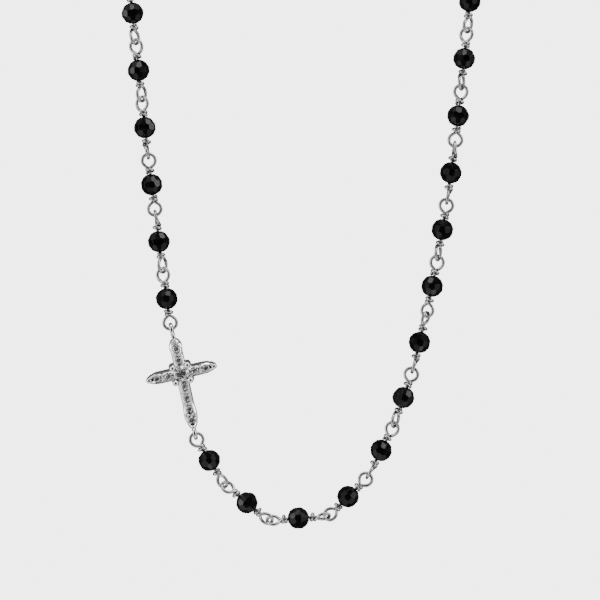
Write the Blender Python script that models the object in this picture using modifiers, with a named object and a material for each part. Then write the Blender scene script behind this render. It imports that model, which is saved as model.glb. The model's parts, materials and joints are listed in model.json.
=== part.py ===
"""Rosary necklace: faceted beads on wrapped wire links, with a stone-set cross in the left strand.

The necklace lies flat and unclasped, as it would on a table, in the curve that it hangs in.
Units are metres. +Z is up and away from the table, +Y runs up the strands. The origin is at the
middle of the necklace's outline, on the table.

Each link's own +X axis runs along the link, away from the cross, and its own origin is the
centre of the wire at the tip of its loop nearest the cross, which is where the link turns.
"""
import math

import bmesh
import bpy
from mathutils import Matrix, Vector

MM = 0.001

# Beads and wire
BEAD_RADIUS = 2.0 * MM
BEAD_HOLE_RADIUS = 0.40 * MM
WIRE_RADIUS = 0.25 * MM
LOOP_RADIUS = 1.08 * MM
WRAP_RADIUS = 0.70 * MM
WRAP_BEAD_GAP = 0.06 * MM
LINK_PITCH = 10.6 * MM
HOOK_GAP = 0.22 * MM

# The chain: link counts, and the statics of a hanging chain, with one link's weight as the unit
LEFT_LINKS = 14
RIGHT_LINKS = 20
LOWEST_LINK = 3
LOWEST_LINK_LOAD = 0.06
HORIZONTAL_PULL = 1.13
CROSS_WEIGHT = 6.5
LEAN = math.radians(1.35)

# Links whose bead is a piece of its own; the rest have bead and wire in one solid
LEFT_LOOSE_BEADS = 5
RIGHT_LOOSE_BEADS = 12

# Roll in degrees of each link's first loop: 0 lies flat, 90 stands on edge.
# The loop it hooks into is turned 90 degrees from it. Links past these lists alternate.
LEFT_ROLLS = (0, 60, 0, 90, 55, 60)
RIGHT_ROLLS = (0, -45, -50, -30, 90, 65, 90, -30, 70, 90, 0, 70, 55)
ROLL_STEP = 90

# Cross
CROSS_THICKNESS = 2.4 * MM
CROSS_EDGE_ROUND = 0.25 * MM
CROSS_TOP_EYE = 8.35 * MM
CROSS_FOOT_EYE = 11.27 * MM
CROSS_TOP_ARM = 6.2 * MM
CROSS_FOOT_ARM = 10.2 * MM
CROSS_SIDE_ARM = 6.5 * MM
ARM_NECK_HALF_WIDTH = 1.0 * MM
ARM_BULGE_HALF_WIDTH = 1.2 * MM
ARM_END_HALF_WIDTH = 0.5 * MM
ARM_TIP_RADIUS = 0.65 * MM
ARM_ROOT = 1.3 * MM
EYE_RADIUS = 0.95 * MM
EYE_WIRE_RADIUS = 0.42 * MM
EYE_STEM_RADIUS = 0.42 * MM
EYE_STEM_HEIGHT = 1.8 * MM
SEAT_RADIUS = 1.75 * MM
SEAT_RISE = 0.25 * MM
PRONG_BALL_RADIUS = 0.5 * MM
PRONG_CIRCLE_RADIUS = 1.75 * MM
STONE_RADIUS = 1.15 * MM
STONE_CULET_DEPTH = 0.85 * MM
STONE_CROWN_HEIGHT = 0.45 * MM
STONE_TABLE_RATIO = 0.58
STONE_GIRDLE = 0.06 * MM
STONE_GAP = 0.05 * MM

# Jump ring, end ring and clasp
JUMP_RING_RADIUS = 1.45 * MM
JUMP_RING_WIRE_RADIUS = 0.30 * MM
END_RING_RADIUS = 1.90 * MM
END_RING_WIRE_RADIUS = 0.35 * MM
CLASP_TAIL_RADIUS = 0.85 * MM
CLASP_TAIL_WIRE_RADIUS = 0.30 * MM
CLASP_THICKNESS = 1.8 * MM
CLASP_HEAD_X = 3.3 * MM
CLASP_HEAD_RADIUS = 1.9 * MM
CLASP_BOW_X = 7.2 * MM
CLASP_BOW_LENGTH = 3.3 * MM
CLASP_BOW_WIDTH = 1.9 * MM
CLASP_BAR_HALF_WIDTH = 0.5 * MM
CLASP_SLOT_HALF_HEIGHT = 0.45 * MM
CLASP_BOW_ROOT_ANGLE = 188
CLASP_BOW_TIP_ANGLE = 62
LEVER_HALF_HEIGHT = 0.38 * MM
LEVER_PIVOT = (3.5 * MM, 0.5 * MM)
LEVER_EYE_RADIUS = 0.62 * MM
LEVER_TIP_ANGLE = 70
LEVER_ROOT_ANGLE = 163
THUMB_TAB = (2.9 * MM, -2.75 * MM)
THUMB_TAB_HALF_WIDTH = 0.42 * MM
RIVET_RADIUS = 0.27 * MM
RIVET_HEAD_RADIUS = 0.45 * MM
RIVET_HEAD_HEIGHT = 0.15 * MM
RIVET_HEAD_GAP = 0.03 * MM
RIVET_HOLE_RADIUS = 0.33 * MM
SPRING_CENTRE = (2.3 * MM, 0.85 * MM)
SPRING_RADIUS = 0.33 * MM
SPRING_WIRE_RADIUS = 0.07 * MM
SPRING_LEG = 0.55 * MM
SPRING_RISE = 0.2 * MM
SPRING_TURNS = 1.5
SLOT_TAIL_X = 1.7 * MM
SLOT_TAB_X = 4.0 * MM
SLOT_GATE_X = 5.2 * MM
SLOT_REACH = 3.0 * MM
SLOT_FLOOR = 0.6 * MM

# Fineness of the solids
ROUND_SIDES = 6
BEAD_SIDES = 8
LOOP_SEGMENTS = 10
RING_SEGMENTS = 16
RING_SIDES = 6
EYE_SEGMENTS = 12
EYE_SIDES = 8
STONE_SIDES = 12
CLASP_HEAD_SIDES = 12
RIVET_SIDES = 8
SPRING_STEPS = 14
MERGE_DISTANCE = 0.00001
SHARP_ANGLE = math.radians(40)

# Finishes: colour, roughness, metallic
FINISHES = {
    "silver": ((0.80, 0.80, 0.80, 1.0), 0.18, 1.0),
    "black_stone": ((0.012, 0.012, 0.014, 1.0), 0.12, 0.0),
    "clear_stone": ((0.90, 0.92, 0.94, 1.0), 0.05, 0.0),
    "spring_steel": ((0.45, 0.46, 0.48, 1.0), 0.35, 1.0),
}

# Sizes that follow from the ones above
HALF_SPAN = (LINK_PITCH - 2 * LOOP_RADIUS + 2 * WIRE_RADIUS + HOOK_GAP) / 2
BEAD_X = LOOP_RADIUS + HALF_SPAN
OUTER_LOOP_X = LOOP_RADIUS + 2 * HALF_SPAN
NECK_X = HALF_SPAN - LOOP_RADIUS
WRAP_START_X = BEAD_RADIUS + WRAP_BEAD_GAP
WRAP_END_X = NECK_X - WIRE_RADIUS
STRAND_HEIGHT = BEAD_RADIUS
UPRIGHT = Matrix.Rotation(math.radians(-90), 4, "Y")
ON_EDGE = Matrix.Rotation(math.radians(90), 4, "X")


# ---------------------------------------------------------------- scene and materials

def clear_scene():
    for old in list(bpy.data.objects):
        bpy.data.objects.remove(old, do_unlink=True)
    for old in list(bpy.data.collections):
        bpy.data.collections.remove(old)


def make_collection(name):
    collection = bpy.data.collections.new(name)
    bpy.context.scene.collection.children.link(collection)
    return collection


def make_materials():
    materials = {}
    for name, (colour, roughness, metallic) in FINISHES.items():
        finish = bpy.data.materials.new(name)
        finish.use_nodes = True
        shader = finish.node_tree.nodes["Principled BSDF"]
        shader.inputs["Base Color"].default_value = colour
        shader.inputs["Roughness"].default_value = roughness
        shader.inputs["Metallic"].default_value = metallic
        finish.diffuse_color = colour
        materials[name] = finish
    return materials


# ---------------------------------------------------------------- mesh helpers

def scratch_object(data):
    """A temporary object that holds a mesh or a curve while it is worked on."""
    item = bpy.data.objects.new("scratch", data)
    bpy.context.scene.collection.objects.link(item)
    return item


def evaluated_mesh(item):
    bpy.context.view_layer.update()
    graph = bpy.context.evaluated_depsgraph_get()
    return bpy.data.meshes.new_from_object(item.evaluated_get(graph))


def boolean(mesh, others, operation):
    """The mesh after each of the other meshes has been joined to it or cut from it."""
    base = scratch_object(mesh)
    helpers = []
    for other in others:
        helper = scratch_object(other)
        step = base.modifiers.new(operation.lower(), "BOOLEAN")
        step.operation = operation
        step.solver = "EXACT"
        step.object = helper
        helpers.append(helper)
    result = evaluated_mesh(base)
    for item in [base] + helpers:
        bpy.data.objects.remove(item, do_unlink=True)
    return result


def union(mesh, *others):
    return boolean(mesh, others, "UNION")


def cut(mesh, *others):
    return boolean(mesh, others, "DIFFERENCE")


def moved(mesh, matrix):
    """A copy of the mesh with its points moved by the matrix."""
    copy = mesh.copy()
    copy.transform(matrix)
    return copy


def turned(profile, sides):
    """A solid turned about the X axis from (x, radius) points that run from +X to -X.

    An outline that starts off the axis is closed into a ring.
    """
    mesh = bpy.data.meshes.new("profile")
    points = [(x, radius, 0.0) for x, radius in profile]
    edges = [(i, i + 1) for i in range(len(points) - 1)]
    if profile[0][1] > 0:
        edges.append((len(points) - 1, 0))
    mesh.from_pydata(points, edges, [])
    item = scratch_object(mesh)
    screw = item.modifiers.new("turn", "SCREW")
    screw.axis = "X"
    screw.angle = 2 * math.pi
    screw.steps = sides
    screw.render_steps = sides
    screw.use_merge_vertices = True
    screw.merge_threshold = MERGE_DISTANCE
    screw.use_normal_calculate = True
    result = evaluated_mesh(item)
    bpy.data.objects.remove(item, do_unlink=True)
    return facing_out(result)


def facing_out(mesh):
    """The mesh with doubled points welded and every face pointing out of the solid."""
    form = bmesh.new()
    form.from_mesh(mesh)
    bmesh.ops.remove_doubles(form, verts=form.verts, dist=MERGE_DISTANCE / 10)
    bmesh.ops.recalc_face_normals(form, faces=form.faces)
    if form.calc_volume(signed=True) < 0:
        bmesh.ops.reverse_faces(form, faces=form.faces)
    form.to_mesh(mesh)
    form.free()
    return mesh


def ring(radius, wire_radius, segments=RING_SEGMENTS, sides=RING_SIDES):
    """A closed ring of wire round the Z axis, with its tips on the X axis."""
    bpy.ops.mesh.primitive_torus_add(
        major_segments=segments, minor_segments=sides,
        major_radius=radius, minor_radius=wire_radius)
    item = bpy.context.object
    mesh = item.data
    bpy.data.objects.remove(item, do_unlink=True)
    return mesh


def cylinder(radius, bottom, top, sides, centre=(0.0, 0.0)):
    """An upright cylinder between two heights."""
    form = bmesh.new()
    place = Matrix.Translation((centre[0], centre[1], (bottom + top) / 2))
    bmesh.ops.create_cone(form, cap_ends=True, segments=sides, radius1=radius,
                          radius2=radius, depth=top - bottom, matrix=place)
    mesh = bpy.data.meshes.new("cylinder")
    form.to_mesh(mesh)
    form.free()
    return mesh


def ball(radius, centre, segments=8, rings=5):
    form = bmesh.new()
    bmesh.ops.create_uvsphere(form, u_segments=segments, v_segments=rings, radius=radius,
                              matrix=Matrix.Translation(centre))
    mesh = bpy.data.meshes.new("ball")
    form.to_mesh(mesh)
    form.free()
    return mesh


def plate(outline, bottom, top):
    """A flat outline raised between two heights."""
    curve = bpy.data.curves.new("outline", "CURVE")
    curve.dimensions = "2D"
    curve.fill_mode = "BOTH"
    curve.extrude = (top - bottom) / 2
    line = curve.splines.new("POLY")
    line.points.add(len(outline) - 1)
    for point, (x, y) in zip(line.points, outline):
        point.co = (x, y, 0.0, 1.0)
    line.use_cyclic_u = True
    item = scratch_object(curve)
    mesh = evaluated_mesh(item)
    bpy.data.objects.remove(item, do_unlink=True)
    mesh.transform(Matrix.Translation((0.0, 0.0, (top + bottom) / 2)))
    return facing_out(mesh)


def rounded(mesh, width):
    """The mesh with its sharp edges rounded."""
    item = scratch_object(mesh)
    bevel = item.modifiers.new("round", "BEVEL")
    bevel.width = width
    bevel.segments = 1
    bevel.limit_method = "ANGLE"
    bevel.angle_limit = math.radians(60)
    bevel.use_clamp_overlap = False
    result = evaluated_mesh(item)
    bpy.data.objects.remove(item, do_unlink=True)
    return result


def wire(points, radius):
    """A length of round wire along the points, with closed ends."""
    curve = bpy.data.curves.new("wire", "CURVE")
    curve.dimensions = "3D"
    curve.bevel_depth = radius
    curve.bevel_resolution = 1
    curve.use_fill_caps = True
    line = curve.splines.new("POLY")
    line.points.add(len(points) - 1)
    for point, place in zip(line.points, points):
        point.co = (*place, 1.0)
    item = scratch_object(curve)
    mesh = evaluated_mesh(item)
    bpy.data.objects.remove(item, do_unlink=True)
    return facing_out(mesh)


def add_piece(name, mesh, finish, parent=None, location=(0.0, 0.0, 0.0), turn=0.0):
    """A named piece, placed in its parent's frame and turned about Z by an angle."""
    mesh.name = name
    mesh.materials.clear()
    mesh.materials.append(MATERIALS[finish])
    mesh.shade_smooth()
    mesh.set_sharp_from_angle(angle=SHARP_ANGLE)
    item = bpy.data.objects.new(name, mesh)
    PARTS.objects.link(item)
    item.parent = parent
    item.location = location
    item.rotation_euler = (0.0, 0.0, turn)
    return item


# ---------------------------------------------------------------- beads and wire links

def arc_profile(angles):
    """Points (x, radius) on the bead's round outline, at angles from its own axis."""
    points = []
    for angle in angles:
        turn = math.radians(angle)
        points.append((BEAD_RADIUS * math.cos(turn), BEAD_RADIUS * math.sin(turn)))
    return points


def make_bead():
    """A faceted round bead, drilled along X."""
    rim = math.degrees(math.asin(BEAD_HOLE_RADIUS / BEAD_RADIUS))
    profile = arc_profile((rim, 50, 90, 130, 180 - rim))
    return turned(profile, BEAD_SIDES)


def wrapped_neck():
    """Outline of one wrapped neck, from the loop down to the bead, as (x, radius)."""
    return [(NECK_X, 0.0), (NECK_X, WIRE_RADIUS * 0.8), (WRAP_END_X, WRAP_RADIUS)]


def mirrored_ends(near, middle):
    """A turned outline with the same end shape on both sides of its middle."""
    far = [(-x, radius) for x, radius in reversed(near)]
    return near + middle + far


def make_shank():
    """The straight wire of a link with its two wrapped necks, about the bead's centre."""
    near = wrapped_neck() + [(WRAP_START_X, WRAP_RADIUS), (WRAP_START_X, WIRE_RADIUS)]
    return turned(mirrored_ends(near, []), ROUND_SIDES)


def make_beaded_shank():
    """The straight wire with its wrapped necks and its bead in one solid."""
    bead = arc_profile((20.5, 50, 90, 130, 159.5))
    return turned(mirrored_ends(wrapped_neck(), bead), BEAD_SIDES)


def make_link(shank, inner_roll, outer_roll):
    """A shank with a loop at each end, each rolled about the link's axis."""
    loop = ring(LOOP_RADIUS, WIRE_RADIUS, LOOP_SEGMENTS, ROUND_SIDES)
    loops = []
    for x, roll in ((LOOP_RADIUS, inner_roll), (OUTER_LOOP_X, outer_roll)):
        place = Matrix.Translation((x, 0.0, 0.0)) @ Matrix.Rotation(math.radians(roll), 4, "X")
        loops.append(moved(loop, place))
    body = moved(shank, Matrix.Translation((BEAD_X, 0.0, 0.0)))
    return facing_out(union(body, *loops))


# ---------------------------------------------------------------- cross

def arm_outline(reach):
    """Half of an arm's outline as (distance from the centre, half width)."""
    bulge = reach - 2 * ARM_BULGE_HALF_WIDTH
    return [
        (ARM_ROOT, ARM_NECK_HALF_WIDTH),
        (bulge - ARM_BULGE_HALF_WIDTH, ARM_NECK_HALF_WIDTH),
        (bulge, ARM_BULGE_HALF_WIDTH),
        (bulge + ARM_BULGE_HALF_WIDTH, ARM_BULGE_HALF_WIDTH * 0.85),
        (reach - ARM_END_HALF_WIDTH, ARM_END_HALF_WIDTH),
    ]


def cross_outline():
    """The cross seen from the front, anticlockwise from its top arm, with the top at +X."""
    outline = []
    reaches = (CROSS_TOP_ARM, CROSS_SIDE_ARM, CROSS_FOOT_ARM, CROSS_SIDE_ARM)
    for quarter, reach in enumerate(reaches):
        turn = Matrix.Rotation(math.radians(90 * quarter), 2)
        half = arm_outline(reach)
        sides = [(x, -y) for x, y in half] + [(x, y) for x, y in reversed(half)]
        for x, y in sides:
            outline.append(tuple(turn @ Vector((x, y))))
    return outline


def make_cross():
    """The cross casting: arms, raised stone seat, corner prongs and an eye at each end."""
    body = rounded(plate(cross_outline(), 0.0, CROSS_THICKNESS), CROSS_EDGE_ROUND)
    face = CROSS_THICKNESS + SEAT_RISE
    additions = [cylinder(SEAT_RADIUS, CROSS_THICKNESS / 2, face, STONE_SIDES)]
    eye = moved(ring(EYE_RADIUS, EYE_WIRE_RADIUS, EYE_SEGMENTS, EYE_SIDES), ON_EDGE)
    for side, eye_x, arm in ((1, CROSS_TOP_EYE, CROSS_TOP_ARM), (-1, CROSS_FOOT_EYE, CROSS_FOOT_ARM)):
        additions.append(moved(eye, Matrix.Translation((side * eye_x, 0.0, STRAND_HEIGHT))))
        ends = sorted((side * (eye_x - EYE_RADIUS), side * (arm - EYE_RADIUS)), reverse=True)
        profile = [(ends[0], 0.0), (ends[0], EYE_STEM_RADIUS), (ends[1], EYE_STEM_RADIUS), (ends[1], 0.0)]
        stem = turned(profile, EYE_SIDES)
        additions.append(moved(stem, Matrix.Translation((0.0, 0.0, EYE_STEM_HEIGHT))))
    for quarter in range(4):
        angle = math.radians(45 + 90 * quarter)
        x = PRONG_CIRCLE_RADIUS * math.cos(angle)
        y = PRONG_CIRCLE_RADIUS * math.sin(angle)
        additions.append(ball(PRONG_BALL_RADIUS, (x, y, face)))
    tip = CROSS_SIDE_ARM - ARM_TIP_RADIUS
    for y in (-tip, tip):
        additions.append(ball(ARM_TIP_RADIUS, (0.0, y, CROSS_THICKNESS / 2)))
    body = union(body, *additions)
    seat_floor = face - STONE_CULET_DEPTH - STONE_GAP
    seat = cylinder(STONE_RADIUS + STONE_GAP, seat_floor, face + CROSS_THICKNESS, STONE_SIDES)
    return facing_out(cut(body, seat))


def make_centre_stone():
    """A round faceted stone: culet, girdle and table, about the Z axis."""
    profile = [
        (STONE_CROWN_HEIGHT, 0.0),
        (STONE_CROWN_HEIGHT, STONE_RADIUS * STONE_TABLE_RATIO),
        (STONE_GIRDLE, STONE_RADIUS),
        (0.0, STONE_RADIUS),
        (STONE_GAP - STONE_CULET_DEPTH, 0.0),
    ]
    return moved(turned(profile, STONE_SIDES), UPRIGHT)


# ---------------------------------------------------------------- clasp

def bow_point(angle, offset=0.0):
    """A point on the clasp's bow, an ellipse, moved out along its radius by an offset."""
    turn = math.radians(angle)
    x = CLASP_BOW_X + (CLASP_BOW_LENGTH + offset) * math.cos(turn)
    y = (CLASP_BOW_WIDTH + offset) * math.sin(turn)
    return x, y


def bar_outline(start, end, steps, start_half, end_half):
    """The outline of a bar that follows the bow between two angles, with changing width."""
    outer = []
    inner = []
    for step in range(steps + 1):
        part = step / steps
        angle = start + (end - start) * part
        half = start_half + (end_half - start_half) * part
        outer.append(bow_point(angle, half))
        inner.append(bow_point(angle, -half))
    return outer + inner[::-1]


def make_clasp_body():
    """The clasp's hook: a slotted head with a tail ring, and a bow that ends at the gate."""
    half = CLASP_THICKNESS / 2
    head = cylinder(CLASP_HEAD_RADIUS, -half, half, CLASP_HEAD_SIDES, (CLASP_HEAD_X, 0.0))
    bow = bar_outline(CLASP_BOW_ROOT_ANGLE, 360 + CLASP_BOW_TIP_ANGLE, 12,
                      CLASP_BAR_HALF_WIDTH * 1.3, CLASP_BAR_HALF_WIDTH)
    tail = ring(CLASP_TAIL_RADIUS, CLASP_TAIL_WIRE_RADIUS, LOOP_SEGMENTS, ROUND_SIDES)
    tail = moved(tail, Matrix.Translation((CLASP_TAIL_RADIUS, 0.0, 0.0)) @ ON_EDGE)
    body = union(head, plate(bow, -half, half), tail)
    slot = plate(slot_outline(), -CLASP_SLOT_HALF_HEIGHT, CLASP_SLOT_HALF_HEIGHT)
    hole = cylinder(RIVET_HOLE_RADIUS, -2 * half, 2 * half, RIVET_SIDES, LEVER_PIVOT)
    return facing_out(cut(body, slot, hole))


def slot_outline():
    """The slot across the clasp's head where the lever and the spring sit."""
    return [
        (SLOT_TAIL_X, -SLOT_REACH),
        (SLOT_TAB_X, -SLOT_REACH),
        (SLOT_TAB_X, -SLOT_FLOOR),
        (SLOT_GATE_X, -SLOT_FLOOR),
        (SLOT_GATE_X, SLOT_REACH),
        (SLOT_TAIL_X, SLOT_REACH),
    ]


def make_clasp_lever():
    """The gate: an eye on the rivet, an arm that closes the bow, and a thumb tab at the back."""
    height = LEVER_HALF_HEIGHT
    x, y = LEVER_PIVOT
    eye = cylinder(LEVER_EYE_RADIUS, -height, height, RIVET_SIDES)
    arm = bar_outline(LEVER_ROOT_ANGLE, LEVER_TIP_ANGLE, 5,
                      CLASP_BAR_HALF_WIDTH * 0.9, CLASP_BAR_HALF_WIDTH * 0.6)
    arm = plate([(px - x, py - y) for px, py in arm], -height, height)
    tab_end = Vector((THUMB_TAB[0] - x, THUMB_TAB[1] - y))
    side = Vector((-tab_end.y, tab_end.x)).normalized() * THUMB_TAB_HALF_WIDTH
    corners = [-side, side, tab_end + side, tab_end - side]
    tab = plate([tuple(corner) for corner in corners], -height, height)
    hole = cylinder(RIVET_HOLE_RADIUS, -2 * height, 2 * height, RIVET_SIDES)
    return facing_out(cut(union(eye, arm, tab), hole))


def make_rivet():
    """The rivet that the lever turns on, headed at both ends, about the Z axis."""
    under_head = CLASP_THICKNESS / 2 + RIVET_HEAD_GAP
    near = [
        (under_head + RIVET_HEAD_HEIGHT, 0.0),
        (under_head + RIVET_HEAD_HEIGHT, RIVET_HEAD_RADIUS * 0.7),
        (under_head, RIVET_HEAD_RADIUS),
        (under_head, RIVET_RADIUS),
    ]
    return moved(turned(mirrored_ends(near, []), RIVET_SIDES), UPRIGHT)


def make_spring():
    """A small coil with two legs that pushes the lever shut."""
    points = [(-SPRING_RADIUS, -SPRING_LEG, -SPRING_RISE)]
    for step in range(SPRING_STEPS + 1):
        part = step / SPRING_STEPS
        angle = math.pi + 2 * math.pi * SPRING_TURNS * part
        x = SPRING_RADIUS * math.cos(angle)
        y = SPRING_RADIUS * math.sin(angle)
        points.append((x, y, SPRING_RISE * (2 * part - 1)))
    points.append((SPRING_RADIUS, SPRING_LEG, SPRING_RISE))
    return wire(points, SPRING_WIRE_RADIUS)


# ---------------------------------------------------------------- the hanging chain

def hang_angle(load, outward):
    """Direction of a link in a hanging chain, from the weight between it and the lowest point.

    outward is 1 where the chain is followed to the right and -1 where it is followed to the left.
    """
    return math.atan2(load * outward, HORIZONTAL_PULL * outward) + LEAN


def cross_angle():
    load = LOWEST_LINK_LOAD - (LOWEST_LINK - 1) - (1 + CROSS_WEIGHT) / 2
    return hang_angle(load, -1)


def link_angle(strand, number):
    if strand == "right":
        return hang_angle(LOWEST_LINK_LOAD + number - LOWEST_LINK, 1)
    load = LOWEST_LINK_LOAD - (LOWEST_LINK - 1) - CROSS_WEIGHT - number
    return hang_angle(load, -1)


def first_roll(strand, number, last):
    """Roll of a link's first loop. Past the listed ones they alternate, and the last one is on edge."""
    rolls = LEFT_ROLLS if strand == "left" else RIGHT_ROLLS
    if number <= len(rolls):
        return rolls[number - 1]
    return ROLL_STEP if (last - number) % 2 == 0 else 0


def loop_reach(loop_roll, heading, pull):
    """The unit vector from a loop's centre to where a pull on the chain bears on it."""
    along = Vector((math.cos(heading), math.sin(heading), 0.0))
    roll = math.radians(loop_roll)
    across = Vector((-math.sin(heading), math.cos(heading), 0.0))
    side = across * math.cos(roll) + Vector((0.0, 0.0, math.sin(roll)))
    return (along * pull.dot(along) + side * pull.dot(side)).normalized()


def hooked_origin(centre_x, first, second, bend):
    """Where a link's own origin lies, in the frame of the link it hooks into.

    first and second are (loop radius, wire radius, roll) of the two loops, centre_x is the first
    loop's centre and bend is the turn between the links. The wires bear on each other along the
    direction that halves the bend, and both loops stay at the height of the strand.
    """
    pull = Vector((math.cos(bend / 2), math.sin(bend / 2), 0.0))
    grip = first[1] + second[1] + HOOK_GAP
    centre = Vector((centre_x, 0.0, 0.0))
    centre += loop_reach(first[2], 0.0, pull) * first[0]
    centre += loop_reach(second[2], bend, pull) * second[0] - pull * grip
    tip = Vector((math.cos(bend), math.sin(bend), 0.0)) * second[0]
    return Vector((centre.x - tip.x, centre.y - tip.y, 0.0))


def add_link(strand, number, loose_beads, rolls, parent, place, heading):
    """One bead on its wire, as two pieces where the strand's beads are loose and as one past that."""
    inner, outer = rolls
    if number > loose_beads:
        mesh = make_link(BEADED_SHANK, inner, outer)
        name = f"{strand}_beaded_link_{number:02d}"
        return add_piece(name, mesh, "black_stone", parent, place, heading)
    mesh = make_link(SHANK, inner, outer)
    link = add_piece(f"{strand}_wire_{number:02d}", mesh, "silver", parent, place, heading)
    add_piece(f"{strand}_bead_{number:02d}", BEAD.copy(), "black_stone", link, (BEAD_X, 0.0, 0.0))
    return link


def add_strand(strand, count, loose_beads, cross, eye_x, base_turn):
    """The links of one strand, each hooked into the one before it. Returns the last one."""
    parent = cross
    parent_angle = cross_angle() + base_turn
    hooked_loop = (EYE_RADIUS, EYE_WIRE_RADIUS)
    hooked_x = eye_x
    start_turn = base_turn
    start_height = STRAND_HEIGHT
    for number in range(1, count + 1):
        angle = link_angle(strand, number)
        bend = math.remainder(angle - parent_angle, 2 * math.pi)
        inner = first_roll(strand, number, count)
        outer = first_roll(strand, number + 1, count) - ROLL_STEP
        first = (*hooked_loop, inner - ROLL_STEP)
        second = (LOOP_RADIUS, WIRE_RADIUS, inner)
        place = Matrix.Rotation(start_turn, 3, "Z") @ hooked_origin(hooked_x, first, second, bend)
        place.z = start_height
        parent = add_link(strand, number, loose_beads, (inner, outer), parent, place, start_turn + bend)
        parent_angle = angle
        hooked_loop = (LOOP_RADIUS, WIRE_RADIUS)
        hooked_x = OUTER_LOOP_X
        start_turn = 0.0
        start_height = 0.0
    return parent


def add_clasp(last_link):
    """The jump ring on the left strand's end, with the lobster clasp hooked into it."""
    loop = (LOOP_RADIUS, WIRE_RADIUS, ROLL_STEP)
    flat_jump_ring = (JUMP_RING_RADIUS, JUMP_RING_WIRE_RADIUS, 0)
    tail = (CLASP_TAIL_RADIUS, CLASP_TAIL_WIRE_RADIUS, ROLL_STEP)
    place = hooked_origin(OUTER_LOOP_X, loop, flat_jump_ring, 0.0)
    mesh = ring(JUMP_RING_RADIUS, JUMP_RING_WIRE_RADIUS)
    mesh = moved(mesh, Matrix.Translation((JUMP_RING_RADIUS, 0.0, 0.0)))
    jump_ring = add_piece("jump_ring", mesh, "silver", last_link, place)
    place = hooked_origin(JUMP_RING_RADIUS, flat_jump_ring, tail, 0.0)
    body = add_piece("clasp_body", make_clasp_body(), "silver", jump_ring, place)
    pivot = (*LEVER_PIVOT, 0.0)
    add_piece("clasp_lever", make_clasp_lever(), "silver", body, pivot)
    add_piece("clasp_rivet", make_rivet(), "silver", body, pivot)
    add_piece("clasp_spring", make_spring(), "spring_steel", body, (*SPRING_CENTRE, 0.0))


def add_end_ring(last_link):
    """The ring on the right strand's end, which the clasp closes on."""
    loop = (LOOP_RADIUS, WIRE_RADIUS, ROLL_STEP)
    place = hooked_origin(OUTER_LOOP_X, loop, (END_RING_RADIUS, END_RING_WIRE_RADIUS, 0), 0.0)
    mesh = ring(END_RING_RADIUS, END_RING_WIRE_RADIUS)
    mesh = moved(mesh, Matrix.Translation((END_RING_RADIUS, 0.0, 0.0)))
    add_piece("end_ring", mesh, "silver", last_link, place)


def centre_on_origin(root):
    """Move the necklace so that the middle of its outline is over the origin, at height 0."""
    bpy.context.view_layer.update()
    corners = []
    for item in PARTS.objects:
        for point in item.data.vertices:
            corners.append(item.matrix_world @ point.co)
    middle_x = (min(c.x for c in corners) + max(c.x for c in corners)) / 2
    middle_y = (min(c.y for c in corners) + max(c.y for c in corners)) / 2
    bottom = min(c.z for c in corners)
    root.location = (-middle_x, -middle_y, -bottom)
    bpy.context.view_layer.update()


clear_scene()
PARTS = make_collection("rosary")
MATERIALS = make_materials()
SHANK = make_shank()
BEADED_SHANK = make_beaded_shank()
BEAD = make_bead()

CROSS = add_piece("cross", make_cross(), "silver", turn=cross_angle())
STONE_PLACE = (0.0, 0.0, CROSS_THICKNESS + SEAT_RISE)
add_piece("centre_stone", make_centre_stone(), "clear_stone", CROSS, STONE_PLACE)
LEFT_END = add_strand("left", LEFT_LINKS, LEFT_LOOSE_BEADS, CROSS, CROSS_TOP_EYE, 0.0)
RIGHT_END = add_strand("right", RIGHT_LINKS, RIGHT_LOOSE_BEADS, CROSS, CROSS_FOOT_EYE, math.pi)
add_clasp(LEFT_END)
add_end_ring(RIGHT_END)
centre_on_origin(CROSS)
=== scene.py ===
"""Looks of the rosary necklace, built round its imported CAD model.

Everything is in metres in the CAD frame: the necklace lies at z = 0 with +Y up its strands.
Pieces are modelled in millimetres about their own centre and scaled as they are made.
"""
import json
import math
import random

import bmesh
import bpy
from mathutils import Matrix, Vector


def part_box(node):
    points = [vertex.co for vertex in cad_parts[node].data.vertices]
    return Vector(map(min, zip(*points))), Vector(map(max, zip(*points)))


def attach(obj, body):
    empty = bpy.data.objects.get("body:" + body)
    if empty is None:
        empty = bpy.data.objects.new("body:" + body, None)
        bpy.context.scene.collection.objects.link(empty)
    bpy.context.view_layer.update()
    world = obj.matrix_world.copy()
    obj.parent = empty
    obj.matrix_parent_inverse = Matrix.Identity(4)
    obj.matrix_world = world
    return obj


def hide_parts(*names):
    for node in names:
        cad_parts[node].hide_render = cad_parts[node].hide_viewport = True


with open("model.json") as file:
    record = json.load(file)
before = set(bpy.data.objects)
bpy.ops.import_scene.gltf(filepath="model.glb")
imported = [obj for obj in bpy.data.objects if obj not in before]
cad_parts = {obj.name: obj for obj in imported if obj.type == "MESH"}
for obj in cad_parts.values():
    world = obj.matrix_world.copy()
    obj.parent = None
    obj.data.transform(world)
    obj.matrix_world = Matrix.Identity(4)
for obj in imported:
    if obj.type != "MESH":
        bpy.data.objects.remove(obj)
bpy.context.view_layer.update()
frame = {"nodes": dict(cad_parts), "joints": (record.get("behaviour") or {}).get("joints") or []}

MM = 0.001
RANDOM = random.Random(11)

# Mesh making. A bar's round end has rings at END_SHARES of its radius, and is END_LENGTH of a half ball.
ALONG_X = (1.0, 0.0, 0.0)
BAR_SIDES = 14
ROUND_SIDES = 48
RING_STEPS = 48
END_SHARES = (0.75, 0.35)
END_LENGTH = 0.6
EASING_PASSES = 3
RUN_POINTS = 3
SHARP_ANGLE = 40.0
CHAMFER_SHARE = 0.3

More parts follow.
